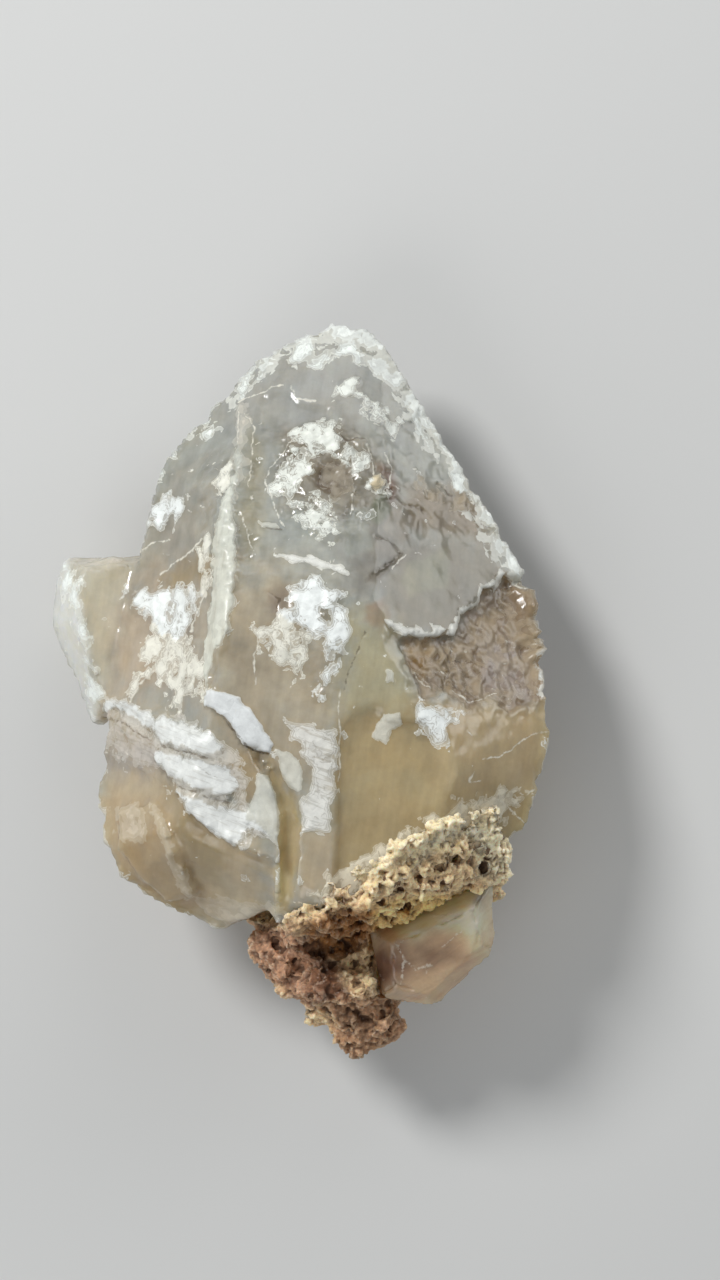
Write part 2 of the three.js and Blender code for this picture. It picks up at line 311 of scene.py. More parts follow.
# width of a lump in mm, seed and octaves
citrineNoise = {
    "ragged": (2.4, 11, 3),
    "crumbs": (0.9, 12, 3),
    "broad": (5, 13, 4),
    "cloud": (15, 14, 2),
    "bite": (3.2, 15, 3),
    "hue": (4, 16, 2),
    "marble": (2.2, 17, 4),
    "swirl": (2.2, 18, 2),
}

# outline, colour and softness of each tint in the body, laid one over the other
tints = [
    ([(240, 330), (350, 320), (404, 376), (390, 430), (300, 440), (205, 430)], srgb(152, 152, 146), 40),
    ([(140, 500), (215, 480), (215, 580), (110, 610)], srgb(150, 145, 132), 40),
    ([(95, 590), (205, 570), (212, 690), (95, 705)], srgb(170, 157, 138), 36),
    ([(163, 580), (203, 545), (214, 560), (206, 582), (166, 590)], srgb(150, 134, 104), 9),
    ([(215, 565), (290, 575), (345, 640), (345, 770), (285, 800), (200, 770), (200, 690)],
     srgb(168, 158, 138), 34),
    ([(376, 518), (402, 528), (398, 560), (380, 560)], srgb(122, 116, 104), 8),
    # painted shade: darker grey around and below the druse
    ([(340, 480), (405, 500), (405, 605), (335, 600)], srgb(133, 130, 121), 34),
    ([(284, 432), (345, 422), (388, 470), (386, 500), (330, 514), (278, 505)], srgb(134, 128, 114), 14),
    ([(318, 464), (334, 459), (351, 467), (351, 487), (332, 494), (317, 486)], srgb(112, 98, 80), 6),
    ([(382, 470), (392, 468), (398, 496), (386, 500)], srgb(114, 92, 78), 8),
    ([(344, 526), (352, 508), (366, 508), (374, 550), (346, 558)], srgb(146, 147, 138), 3),
    ([(372, 500), (384, 490), (390, 512), (382, 524), (370, 518)], srgb(116, 118, 102), 3),
    ([(384, 526), (392, 510), (400, 503), (407, 528), (404, 544), (390, 538)], srgb(144, 139, 127), 2),
    ([(366, 580), (370, 572), (384, 564), (396, 556), (405, 546), (402, 562), (386, 577), (374, 582)],
     srgb(98, 92, 79), 3),
    ([(362, 622), (366, 604), (384, 598), (393, 616), (380, 630)], srgb(150, 134, 117), 4),
    ([(405, 486), (478, 488), (492, 540), (405, 534)], srgb(138, 127, 108), 14),
    ([(405, 546), (490, 541), (503, 574), (478, 606), (456, 633), (400, 632), (385, 600)],
     srgb(135, 130, 116), 9),
    ([(402, 580), (405, 566), (446, 548), (450, 586), (410, 594)], srgb(140, 138, 120), 3),
    ([(342, 605), (395, 632), (420, 700), (400, 745), (340, 740)], srgb(170, 163, 136), 26),
    ([(334, 716), (420, 704), (470, 722), (560, 705), (560, 880), (300, 960), (330, 850)],
     srgb(166, 150, 115), 16),
    ([(432, 706), (560, 690), (560, 800), (450, 790)], srgb(178, 160, 126), 26),
    ([(398, 638), (432, 638), (457, 634), (463, 614), (478, 606), (484, 588), (497, 590), (505, 575),
      (545, 600), (548, 700), (510, 716), (488, 702), (470, 710), (445, 692), (425, 700)],
      srgb(134, 117, 95), 9),
    ([(404, 641), (432, 640), (436, 664), (426, 674), (412, 664)], srgb(138, 111, 70), 7),
    ([(484, 640), (520, 650), (525, 690), (490, 690)], srgb(146, 133, 122), 12),
    ([(440, 640), (452, 660), (452, 690), (440, 690)], srgb(118, 98, 66), 6),
    ([(98, 705), (160, 715), (190, 790), (270, 850), (272, 935), (180, 930), (90, 830)],
     srgb(178, 163, 136), 26),
    ([(92, 730), (150, 738), (172, 770), (130, 776), (96, 770)], srgb(160, 152, 140), 20),
    ([(105, 800), (150, 800), (175, 850), (215, 900), (180, 930), (110, 880)], srgb(162, 142, 110), 22),
    # painted shade: an olive shadow band down the lower-left face
    ([(165, 780), (192, 800), (225, 850), (222, 886), (198, 880), (180, 840)], srgb(156, 140, 108), 12),
    ([(228, 751), (262, 751), (256, 800), (240, 812), (230, 790)], srgb(160, 144, 116), 5),
    ([(258, 753), (268, 759), (281, 776), (293, 795), (299, 818), (299, 860), (288, 915), (272, 915),
      (279, 847), (278, 793), (270, 772)], srgb(178, 163, 126), 5),
    ([(299, 832), (335, 832), (336, 880), (297, 900)], srgb(172, 158, 134), 10),
    # painted shade: a darker olive strip beside the ridge, on its right
    ([(250, 430), (262, 440), (264, 540), (252, 562), (240, 540), (242, 500)], srgb(152, 148, 130), 8),
    ([(266, 592), (288, 588), (290, 606), (280, 618), (268, 612)], srgb(146, 134, 118), 8),
    ([(66, 560), (140, 556), (125, 600), (100, 700), (90, 660)], srgb(190, 183, 165), 14),
    # the side crystal's left face: its own pale colour, with a painted sheen
    ([(50, 560), (68, 560), (88, 655), (99, 705), (92, 720), (50, 620)], srgb(214, 214, 202), 5),
]
marbled = [(150, 440), (300, 400), (400, 430), (480, 500), (400, 620), (345, 640), (340, 720), (215, 700),
           (120, 620)]
# painted light: round pools of glow added to the body's brightness, as x, y, radius and gain
paintedGlows = [(405, 780, 40, 0.1), (297, 697, 28, 0.14), (340, 385, 40, 0.1), (230, 870, 40, 0.08)]

# outline, width of a fold in mm, height in mm and softness of each crumpled patch
folds = [
    ([(384, 440), (470, 470), (500, 545), (412, 548), (384, 500)], 3.4, 0.4, 10),
    ([(398, 638), (457, 634), (505, 576), (545, 600), (545, 715), (470, 715), (405, 690)], 3.0, 0.7, 6),
    ([(278, 425), (345, 420), (392, 470), (388, 505), (340, 545), (276, 512)], 1.9, 0.8, 8),
    ([(200, 455), (262, 440), (262, 560), (212, 620), (196, 560)], 2.0, 0.5, 8),
    ([(97, 702), (165, 712), (176, 775), (105, 775)], 2.2, 0.3, 8),
    ([(285, 575), (345, 590), (345, 720), (300, 690)], 2.4, 0.4, 8),
]
# outline, height in mm and softness of each step in the faces
steps = [
    ([(385, 622), (402, 637), (432, 637), (456, 634), (463, 614), (478, 606), (484, 588), (497, 590),
      (504, 575), (519, 600), (533, 640), (536, 700), (510, 714), (488, 700), (470, 708), (445, 690),
      (425, 700)], -0.5, 1.5),
    ([(316, 463), (334, 458), (352, 466), (352, 488), (332, 495), (316, 486)], -0.7, 4),
    ([(370, 476), (380, 474), (384, 483), (376, 491), (369, 486)], 0.2, 4),
    ([(163, 576), (203, 542), (224, 560), (216, 640), (170, 640)], -0.2, 2),
    ([(288, 392), (300, 403), (330, 408), (330, 440), (262, 430), (262, 396)], -0.25, 2),
    ([(216, 500), (234, 496), (238, 570), (226, 646), (207, 688), (207, 650), (210, 600), (213, 569)],
     0.5, 1.5),
    ([(516, 590), (600, 575), (600, 665), (535, 655)], 2.4, 12),
    ([(110, 480), (164, 480), (160, 560), (110, 560)], 0.6, 10),
]

# white growths and scars on the front, in sheet units and mm, over these values
plainVeil = {
    "soft": 1.0,  # width of the terraces at its edge
    "ragged": 4.0,  # wide tears in the edge
    "torn": 8.0,  # fine tears
    "limit": 30.0,  # depth at which it is whole
    "hold": 0.9,  # how opaque it is
    "thin": 0.5,  # share of that on its outer terrace
    "fade": 0.0,  # how much thinner it is near its border
    "shadow": 0.0,  # dark line under its lower edge
    "rim": 0.8,  # how opaque its border is
    "rise": 0.06,
    "crumb": 0.05,
    "dash": 0.0,  # short gaps along the layers
    "fibre": 0.0,  # gaps along the ridge
    "vein": 0.0,  # fine dark lines
}
shaderFields = ("torn", "hold", "thin", "rim", "dash", "fibre", "vein")  # values that the material reads
veils = {
    "frost": {"soft": 9.0, "ragged": 12, "torn": 40, "limit": 24, "hold": 0.95, "thin": 0.7, "rim": 0.2,
              "rise": 0.02, "crumb": 0.05, "vein": 0.15, "colour": srgb(236, 240, 234), "outlines": [
        [(405, 372), (440, 410), (482, 470), (520, 545), (556, 610), (560, 700), (544, 690), (532, 614),
         (519, 586), (502, 568), (490, 547), (477, 522), (468, 500), (446, 475), (434, 448), (420, 432),
         (406, 418), (392, 392)],
        [(349, 318), (370, 320), (392, 352), (412, 384), (392, 392), (372, 378), (352, 352)],
        [(236, 412), (214, 404), (222, 396), (246, 388)],
        [(258, 368), (276, 346), (316, 328), (345, 318), (374, 324), (384, 348), (350, 345), (300, 347),
         (272, 368)],
    ]},
    "cap": {"soft": 4.0, "ragged": 6, "torn": 36, "limit": 12, "hold": 0.95, "thin": 0.5, "fade": 0.2,
            "rim": 0.7, "rise": 0.02, "crumb": 0.06, "vein": 0.25, "colour": srgb(238, 243, 237),
            "outlines": [
        [(288, 346), (300, 344), (320, 342), (350, 341), (362, 352), (370, 370), (362, 368), (350, 354),
         (334, 361), (328, 355), (318, 361), (308, 362), (298, 366), (286, 358)],
        [(238, 402), (234, 388), (254, 362), (272, 352), (282, 352), (268, 366), (252, 384), (247, 400)],
        [(62, 564), (71, 564), (80, 608), (90, 655), (101, 700), (93, 704), (82, 660), (71, 612)],
        [(210, 438), (198, 437), (192, 449), (181, 448), (166, 466), (163, 481), (154, 481), (156, 456),
         (178, 430), (208, 418), (216, 420)],
        [(410, 415), (418, 414), (424, 424), (438, 440), (436, 446), (420, 434), (411, 428)],
        [(444, 468), (462, 470), (484, 500), (486, 514), (470, 504), (454, 490)],
        [(478, 504), (498, 526), (506, 546), (492, 540), (480, 522)],
    ]},
    "ridge": {"soft": 1.0, "ragged": 3, "torn": 6, "limit": 5, "hold": 0.8, "thin": 0.5, "rise": 0.12,
              "fibre": 0.4, "colour": srgb(218, 220, 207), "outlines": [
        [(238, 444), (243, 452), (239, 474), (234, 497), (234, 534), (236, 576), (233, 606), (222, 646),
         (207, 688), (206, 660), (210, 600), (213, 569), (217, 540), (220, 501), (228, 486)],
    ]},
    "lace": {"soft": 3.0, "ragged": 8, "torn": 46, "limit": 7, "hold": 0.82, "thin": 0.5, "rim": 0.85,
             "rise": 0.1, "crumb": 0.1, "vein": 0.5, "colour": srgb(236, 235, 222), "outlines": [
        [(150, 618), (190, 630), (196, 648), (203, 675), (206, 692), (180, 697), (176, 706), (164, 686),
         (150, 668), (134, 700), (128, 700), (144, 660)],
        [(258, 626), (292, 616), (314, 636), (306, 664), (296, 676), (284, 664), (262, 648)],
        [(219, 470), (230, 466), (232, 494), (221, 497)],
        [(202, 536), (216, 532), (213, 570), (208, 596), (200, 588)],
    ]},
    "druse": {"soft": 3.0, "ragged": 9, "torn": 52, "limit": 7, "hold": 0.92, "thin": 0.4, "rim": 0.85,
              "rise": 0.12, "crumb": 0.16, "vein": 0.9, "colour": srgb(229, 232, 223), "outlines": [
        [(293, 436), (308, 426), (322, 430), (330, 422), (342, 424), (340, 446), (368, 448), (370, 474),
         (384, 480), (378, 493), (366, 488), (352, 464), (330, 456), (312, 462), (310, 484), (324, 496),
         (322, 512), (300, 508), (279, 496), (280, 466), (296, 456)],
        [(341, 402), (345, 386), (353, 376), (360, 374), (363, 384), (378, 404), (398, 424), (392, 432),
         (372, 410), (356, 398)],
        [(306, 516), (338, 518), (340, 536), (330, 544), (310, 532)],
    ]},
    "crinkle": {"soft": 3.0, "ragged": 8, "torn": 60, "limit": 4, "hold": 0.4, "thin": 0.4, "rim": 0.4,
                "crumb": 0.1, "vein": 0.5, "colour": srgb(174, 158, 130), "outlines": [
        [(404, 642), (460, 640), (484, 606), (508, 590), (530, 610), (536, 690), (500, 706), (470, 706),
         (425, 690)],
        [(420, 484), (470, 488), (474, 504), (452, 508), (428, 498)],
    ]},
    "pit": {"soft": 3.0, "ragged": 3, "torn": 60, "limit": 5, "hold": 0.6, "rim": 0.5, "crumb": 0.14,
            "vein": 0.6, "colour": srgb(160, 152, 134), "outlines": [
        [(318, 464), (334, 459), (351, 467), (351, 487), (332, 494), (317, 486)],
    ]},
    "seam": {"soft": 3.0, "ragged": 6, "torn": 50, "limit": 7, "hold": 0.75, "thin": 0.4, "rim": 0.6,
             "rise": 0.1, "crumb": 0.12, "vein": 0.2, "colour": srgb(228, 222, 202), "outlines": [
        [(296, 908), (330, 878), (392, 842), (420, 818), (500, 790), (524, 800), (505, 816), (425, 842),
         (398, 864), (335, 898), (306, 920)],
    ]},
    "cream": {"soft": 1.5, "ragged": 2, "torn": 8, "rise": 0.08, "crumb": 0.1,
              "colour": srgb(228, 212, 176), "outlines": [
        [(370, 476), (380, 474), (384, 483), (376, 491), (369, 486)],
    ]},
    "streaks": {"soft": 4.0, "torn": 36, "limit": 9, "hold": 0.5, "rim": 0.4, "dash": 0.5,
                "colour": srgb(208, 202, 194), "outlines": [
        [(98, 706), (116, 711), (150, 730), (166, 750), (160, 764), (132, 762), (99, 748)],
        [(50, 556), (137, 552), (120, 562), (76, 566), (50, 580)],
    ]},
    "silver": {"soft": 2.4, "ragged": 2.5, "torn": 20, "limit": 8, "hold": 0.85, "thin": 0.6, "rim": 0.9,
               "rise": 0.12, "dash": 0.45, "vein": 0.5, "colour": srgb(226, 225, 218), "outlines": [
        [(284, 719), (304, 723), (339, 728), (338, 751), (335, 806), (330, 834), (302, 830), (298, 800),
         (311, 790), (311, 770), (300, 752)],
    ]},
    "bevel": {"soft": 5.0, "ragged": 3, "torn": 20, "limit": 12, "hold": 0.5, "thin": 0.5, "rim": 0.1,
              "rise": 0.1, "colour": srgb(222, 214, 196), "outlines": [
        [(150, 803), (160, 806), (174, 850), (188, 880), (196, 897), (186, 898), (170, 862), (158, 834)],
        [(112, 806), (140, 804), (150, 830), (138, 846), (120, 836)],
        [(120, 812), (140, 812), (142, 834), (124, 834)],
        [(238, 402), (250, 405), (247, 440), (243, 474), (236, 502), (228, 488), (236, 444)],
        [(196, 896), (240, 900), (290, 905), (262, 930), (240, 934), (205, 912)],
    ]},
    "ground": {"soft": 3.0, "ragged": 5, "torn": 40, "limit": 8, "hold": 0.6, "thin": 0.5, "rim": 0.6,
               "dash": 0.3, "vein": 0.4, "colour": srgb(216, 213, 204), "outlines": [
        [(108, 700), (170, 718), (228, 740), (244, 770), (250, 812), (268, 836), (236, 846), (200, 822),
         (166, 776), (146, 744), (118, 716)],
    ]},
    "bands": {"soft": 1.4, "torn": 12, "limit": 9, "hold": 0.95, "shadow": 0.25, "rise": 0.1,
              "crumb": 0.06, "dash": 0.25, "vein": 0.4, "colour": srgb(229, 231, 227), "outlines": [
        [(101, 702), (111, 699), (132, 702), (174, 720), (212, 731), (226, 741), (226, 752), (213, 759),
         (193, 753), (161, 744), (147, 728), (115, 708), (103, 711)],
        [(146, 746), (180, 752), (228, 763), (240, 786), (234, 803), (205, 793), (174, 782), (160, 768)],
        [(176, 789), (212, 801), (243, 811), (262, 815), (278, 848), (268, 836), (252, 831), (238, 845),
         (214, 836), (190, 814)],
    ]},
    "shield": {"soft": 0.9, "ragged": 1.6, "torn": 6, "hold": 0.72, "thin": 0.8, "rise": 0.15,
               "crumb": 0.02, "colour": srgb(218, 218, 206), "outlines": [
        [(257, 772), (268, 776), (277, 793), (279, 847), (266, 832), (243, 822), (249, 809), (255, 790)],
        [(274, 749), (289, 751), (299, 762), (304, 780), (301, 795), (289, 785), (280, 768)],
        [(384, 711), (402, 711), (403, 722), (393, 729), (386, 746), (371, 740), (378, 722)],
        [(386, 672), (394, 671), (394, 684), (387, 684)],
        [(258, 522), (278, 522), (280, 528), (262, 529)],
    ]},
    "plate": {"soft": 0.7, "ragged": 1.4, "torn": 4, "hold": 0.95, "thin": 0.9, "shadow": 0.4,
              "rim": 0.95, "rise": 0.25, "crumb": 0.02, "vein": 0.08, "colour": srgb(223, 226, 225),
              "outlines": [
        [(206, 690), (222, 692), (241, 698), (253, 713), (272, 744), (268, 751), (255, 749), (243, 743),
         (235, 730), (224, 715), (206, 706)],
    ]},
    "edge": {"soft": 1.0, "ragged": 1.5, "torn": 10, "limit": 6, "hold": 0.92, "thin": 0.8, "rise": 0.05,
             "crumb": 0.03, "vein": 0.2, "colour": srgb(232, 232, 224), "outlines": [
        [(383, 619), (397, 623), (415, 624), (423, 632), (430, 630), (428, 620), (446, 629), (434, 637),
         (404, 638), (394, 630)],
        [(276, 555), (300, 555), (330, 560), (350, 569), (351, 577), (328, 572), (300, 564)],
        [(445, 635), (456, 634), (463, 615), (478, 607), (484, 589), (497, 591), (505, 574), (500, 569),
         (492, 585), (480, 583), (474, 601), (458, 609), (451, 628)],
    ]},
    "snowAndGlare": {"soft": 3.2, "ragged": 7, "torn": 40, "limit": 11, "hold": 0.97, "thin": 0.5, "fade": 0.25,
             "shadow": 0.15, "rise": 0.12, "crumb": 0.12, "vein": 0.7, "colour": srgb(236, 240, 237),
             "outlines": [
        # painted reflection: the first patch stands for a bright reflection on a crinkled fracture
        # surface, drawn white; the others are white patches
        [(128, 590), (163, 586), (194, 583), (196, 600), (190, 636), (178, 648), (162, 642), (150, 622),
         (134, 606)],
        [(290, 591), (316, 578), (337, 588), (354, 607), (349, 623), (346, 652), (338, 664), (322, 638),
         (310, 634), (296, 628), (276, 628), (291, 606)],
        [(345, 661), (332, 676), (325, 704), (318, 696), (325, 675), (336, 664)],
        [(149, 508), (166, 498), (183, 498), (182, 514), (168, 531), (153, 526)],
        [(416, 702), (436, 706), (465, 723), (451, 728), (448, 740), (420, 740), (415, 718)],
        [(308, 732), (340, 730), (339, 750), (322, 756), (306, 744)],
    ]},
}
strandsAndGlints = {  # thin pale lines: white strands, and one painted highlight along a facet edge
    "width": 1.6, "hold": 0.75, "rise": 0.03, "colour": srgb(230, 226, 212), "lines": [
        [(291, 386), (295, 397), (304, 399), (315, 402)],
        [(238, 402), (258, 394), (274, 386), (284, 385)],
        [(504, 575), (519, 588), (530, 604)],
        [(296, 437), (284, 453), (270, 467), (266, 479), (270, 495), (273, 509), (284, 525)],
        [(142, 555), (153, 546), (170, 540)],
        [(161, 574), (176, 562), (202, 540)],
        [(240, 408), (238, 444)],
        [(246, 414), (255, 428), (250, 458), (248, 487)],
        [(243, 513), (247, 529), (250, 541), (257, 555)],
        [(205, 571), (203, 591), (191, 630)],
        [(258, 633), (253, 667), (256, 684)],
        [(178, 697), (206, 691)],
        [(154, 670), (140, 684), (130, 702)],
        [(482, 759), (499, 755), (516, 747), (532, 736), (546, 732)],
        [(473, 772), (469, 783), (481, 782)],
        [(517, 792), (526, 796), (536, 785)],
        [(414, 669), (421, 680), (433, 686)],
        [(500, 800), (512, 812), (522, 822)],
        [(386, 452), (390, 470), (388, 486)],
        [(366, 446), (372, 462), (374, 476)],
        # painted highlight along the facet edge
        [(340, 690), (339, 728), (338, 780)],
        [(455, 690), (470, 702), (482, 700), (496, 694)],
        [(393, 569), (398, 562), (405, 556)],
        [(353, 512), (350, 496), (355, 488)],
    ],
}
cracks = {  # thin dark lines
    "width": 1.0, "depth": 0.15, "strength": 0.5, "colour": srgb(96, 76, 54), "lines": [
        [(161, 745), (193, 754), (213, 760)],
        [(176, 785), (205, 796), (233, 807)],
        [(197, 767), (216, 779)],
        [(224, 717), (239, 736), (249, 749), (268, 753)],
        [(340, 418), (334, 432), (346, 440), (364, 440)],
        [(386, 488), (400, 502), (423, 510)],
        [(376, 538), (390, 543), (398, 550)],
        [(439, 638), (446, 650), (453, 660), (450, 672), (444, 693)],
        [(453, 660), (466, 662), (477, 662)],
        [(451, 681), (462, 688), (473, 700)],
        [(436, 484), (446, 492), (452, 496)],
        [(266, 528), (282, 528)],
        [(370, 576), (384, 570), (395, 561), (402, 552)],
        [(366, 632), (358, 650), (348, 674), (343, 690)],
        [(268, 592), (280, 598), (276, 610)],
        [(104, 716), (128, 724), (150, 742)],
    ],
}
# where small pale flecks lie: outline, how many, and the way they point in degrees
flecks = {
    "seed": 7, "width": 1.1, "length": (0.5, 6), "areas": [
        ([(155, 470), (236, 440), (240, 570), (140, 570)], 15, -20),
        ([(255, 440), (350, 440), (350, 580), (240, 590)], 18, 55),
        ([(355, 440), (470, 470), (495, 545), (380, 600)], 10, -30),
        ([(115, 580), (330, 580), (335, 735), (115, 700)], 14, 70),
        ([(400, 640), (530, 600), (540, 712), (420, 700)], 13, -35),
        ([(345, 640), (545, 700), (540, 800), (345, 820)], 7, -20),
        ([(102, 705), (170, 722), (180, 790), (105, 780)], 8, -25),
        ([(230, 360), (345, 350), (330, 430), (220, 430)], 6, 20),
        ([(110, 800), (330, 840), (300, 910), (170, 920)], 6, 30),
    ],
}


def wandering(spots):  # places on the sheet, pushed about so that drawn lines don't look ruled
    wide, small = citrine["wobble"]
    pushes = [wide * noiseAt(spots, 4.5, seed, 2) + small * noiseAt(spots, 1.1, seed + 2, 2)
              for seed in (21, 22)]
    return sheetPoints(spots) + np.stack(pushes, 1)


def scattered(group):  # short lines strewn over the areas
    chance = np.random.default_rng(group["seed"])
    lines = []
    for outline, count, angle in group["areas"]:
        corners = np.array(outline, float)
        spread = chance.uniform(corners.min(0), corners.max(0), (count * 6, 2))
        for middle in spread[outlineDepth(spread, outline) > 0][:count]:
            turn = math.radians(angle + chance.normal(0, 25))
            half = chance.uniform(*group["length"]) / 2 * np.array([math.cos(turn), -math.sin(turn)])
            lines.append([middle - half, middle + half])
    return lines


flecks["lines"] = scattered(flecks)


def deepestOf(plan, outlines):
    return np.max([outlineDepth(plan, outline) for outline in outlines], axis=0)


def nearestOf(plan, group):
    return np.max([lineDepth(plan, line, group["width"]) for line in group["lines"]], axis=0)


def refineMarkings(piece, reach):  # finer mesh along every drawn edge and line
    plan = wandering(spotsOf(piece.data))
    near = np.max([nearestOf(plan, group) for group in (strandsAndGlints, cracks, flecks)], axis=0) > -reach
    for veil in veils.values():
        if veil.get("soft", 1) < 2:
            near |= np.abs(deepestOf(plan, veil["outlines"])) < reach
    near &= normalsOf(piece.data)[:, 2] > upward
    shape = bmesh.new()
    shape.from_mesh(piece.data)
    edges = [edge for edge in shape.edges if near[edge.verts[0].index] and near[edge.verts[1].index]]
    bmesh.ops.subdivide_edges(shape, edges=edges, cuts=1, use_grid_fill=True)
    shape.to_mesh(piece.data)
    shape.free()


def shapeCitrine(piece):
    refineFront(piece, upward)
    refineMarkings(piece, 2.2)
    mesh = piece.data
    spots = spotsOf(mesh)
    normals = normalsOf(mesh)
    plan = wandering(spots)
    front = normals[:, 2] > upward
    edge = bulge(mesh, spots, normals, 12)
    waves = {name: noiseAt(spots, *values) for name, values in citrineNoise.items()}
    ragged, crumbs, broad, swirl = (waves[name] for name in ("ragged", "crumbs", "broad", "swirl"))
    cloud = 1 + citrine["cloud"] * (waves["cloud"] + 0.7 * broad)

    tone = np.tile(citrine["grey"], (len(spots), 1))
    for outline, colour, soft in tints:
        tone = tinted(tone, colour, ramp(outlineDepth(plan, outline) + soft * 0.6 * ragged, -soft, soft))
    # painted light: round pools of glow brighten the body
    for x, y, radius, gain in paintedGlows:
        cloud += gain * ramp(-np.linalg.norm(plan - (x, y), axis=1), -radius * 1.6, 0)
    cloud += citrine["marble"] * ramp(outlineDepth(plan, marbled), -20, 20) * waves["marble"]
    hue = waves["hue"][:, None] * citrine["hue"]
    tone *= citrine["milk"] * cloud[:, None] * (1 + hue)

    bite = ramp(waves["bite"], -0.05, 0.5) * ramp(edge, 0.03, 0.35)
    rise = citrine["wave"] * broad + citrine["crisp"] * ramp(edge, 0.02, 0.4) - citrine["chip"] * bite
    for number, (outline, size, height, soft) in enumerate(folds):
        share = ramp(outlineDepth(plan, outline), -soft, soft) * front
        inside = share > 0
        crumple = np.abs(noiseAt(spots[inside], size, 51 + number, 3))
        rise[inside] += height * share[inside] * (0.3 - crumple)
    for outline, height, soft in steps:
        rise += height * ramp(outlineDepth(plan, outline) + ragged, -soft, soft) * front

    looks = {name: np.full(len(spots), plainVeil[name]) for name in shaderFields}
    looks["hold"][:] = citrine["chipAndGlintHold"]
    white = np.tile(citrine["white"], (len(spots), 1))
    depth = (edge - citrine["wornEdge"]) * 12 + 4 * ragged  # pale edges everywhere: frosted chips, and a painted highlight along the edges
    for veil in veils.values():
        look = {**plainVeil, **veil}
        raw = np.where(front, deepestOf(plan, look["outlines"]) + look["ragged"] * ragged, sheet["away"])
        if look["shadow"]:
            cast = deepestOf(plan + citrine["castBy"], look["outlines"]) + look["ragged"] * ragged
            tone *= (1 - look["shadow"] * ramp(cast, -1, 1.5) * front)[:, None]
        look["hold"] *= 1 - look["fade"] * (1 - ramp(raw, 0, 8))
        raw = np.minimum(raw, look["limit"])
        rise += ramp(raw, -1, 2) * (look["rise"] + look["crumb"] * crumbs)
        look["torn"] /= look["soft"]
        over = raw / look["soft"]
        wins = over > depth
        depth[wins] = over[wins]
        white[wins] = look["colour"]
        for name in looks:
            looks[name][wins] = np.broadcast_to(look[name], len(wins))[wins]
    pale = np.maximum(nearestOf(plan, strandsAndGlints), nearestOf(plan, flecks))
    pale = np.where(front, pale + 0.5 * crumbs, sheet["away"])
    crack = np.where(front, nearestOf(plan, cracks) + 1.2 * crumbs, sheet["away"])
    rise += strandsAndGlints["rise"] * ramp(pale, -1.5, 1) - cracks["depth"] * ramp(crack, -1.5, 1)
    pushOut(mesh, spots, normals, rise)
    addTone(mesh, "tone", tone * (1 + 0.06 * swirl)[:, None])
    addTone(mesh, "white", white * (1 + 0.08 * swirl)[:, None])
    addField(mesh, "depth", depth + 0.3 * swirl * looks["torn"])
    addField(mesh, "crack", crack)
    addField(mesh, "strandAndGlint", pale)
    for name, values in looks.items():
        addField(mesh, name, values)


def citrineMaterial():
    material, start = newMaterial("milky_citrine")
    place = start.place()
    tear = place.lumps(0.8, 2, 0.7) - 0.5
    grain = place.lumps(0.3, 1)
    flake = place.flakes(1.1) - 0.5
    wisps = place.along(81, 7).lumps(1.1, 2) - 0.5
    layers = place.along(-18, 8).lumps(0.4, 1, 0.65)
    torn = start.field("torn")
    depth = start.field("depth") + (flake * 0.2 + tear * 0.14) * torn
    film = depth.step(-0.15, 0.15)
    half = depth.step(0.85, 1.15)
    core = depth.step(1.85, 2.15)
    line = film - depth.step(0.2, 0.5) + half - depth.step(1.2, 1.45)
    seams = depth.step(1.5, 1.65) - depth.step(1.75, 1.9) + depth.step(2.6, 2.75) - depth.step(2.85, 3.0)
    vein = start.field("vein") * seams
    gaps = start.field("dash") * layers.step(0.54, 0.64) + start.field("fibre") * wisps.step(-0.04, 0.1)
    thin = start.field("thin")
    strandAndGlint = (start.field("strandAndGlint") + tear * 2).step(-0.4, 0.8)
    veil = start.field("hold") * (film * thin + (half + core) * 0.5 * (1 - thin))
    veil = (veil.atLeast(line * start.field("rim")) * (1 - gaps * 0.8)).atLeast(strandAndGlint * strandsAndGlints["hold"])
    crack = (start.field("crack") + tear * 3).step(-0.7, 0.6)
    tone = start.tone("tone").shaded(1 + tear * 0.2 + wisps * 0.3)
    tone = (crack * cracks["strength"]).blend(tone, cracks["colour"])
    white = ((1 - half) * 0.4).blend(start.tone("white"), citrine["cream"])
    # white is brightened along each terrace rim (line): a painted highlight
    white = white.shaded(0.82 + core * 0.08 + line * 0.08 + grain * 0.12 + tear * 0.3 + flake * 0.14)
    white = strandAndGlint.blend((vein * 0.7).blend(white, citrine["vein"]), strandsAndGlints["colour"])
    relief = film * (0.3 + (tear + flake) * torn * 0.04) + (half + core) * 0.15
    normal = (grain * 0.1 + relief).bump(0.5, 0.3)
    clear = start.node("ShaderNodeBsdfPrincipled", {}, {
        "Base Color": tone, "Roughness": 0.1 + grain * 0.18, "IOR": ior,
        "Transmission Weight": citrine["transmission"], "Subsurface Weight": citrine["scatter"],
        "Subsurface Radius": citrine["scatterRadius"], "Subsurface Scale": 1.0,
    })
    frosted = start.node("ShaderNodeBsdfPrincipled", {}, {
        "Base Color": white, "Roughness": 0.32 + grain * 0.3, "IOR": ior, "Normal": normal,
    })
    surface = start.node("ShaderNodeMixShader", {}, {0: veil * (1 - crack * 0.7), 1: clear, 2: frosted})
    inputs = {"Color": citrine["haze"], "Density": citrine["hazeDensity"]}
    haze = start.node("ShaderNodeVolumeAbsorption", {}, inputs)
    finishMaterial(start, surface, haze)
    return material


# the crusted matrix

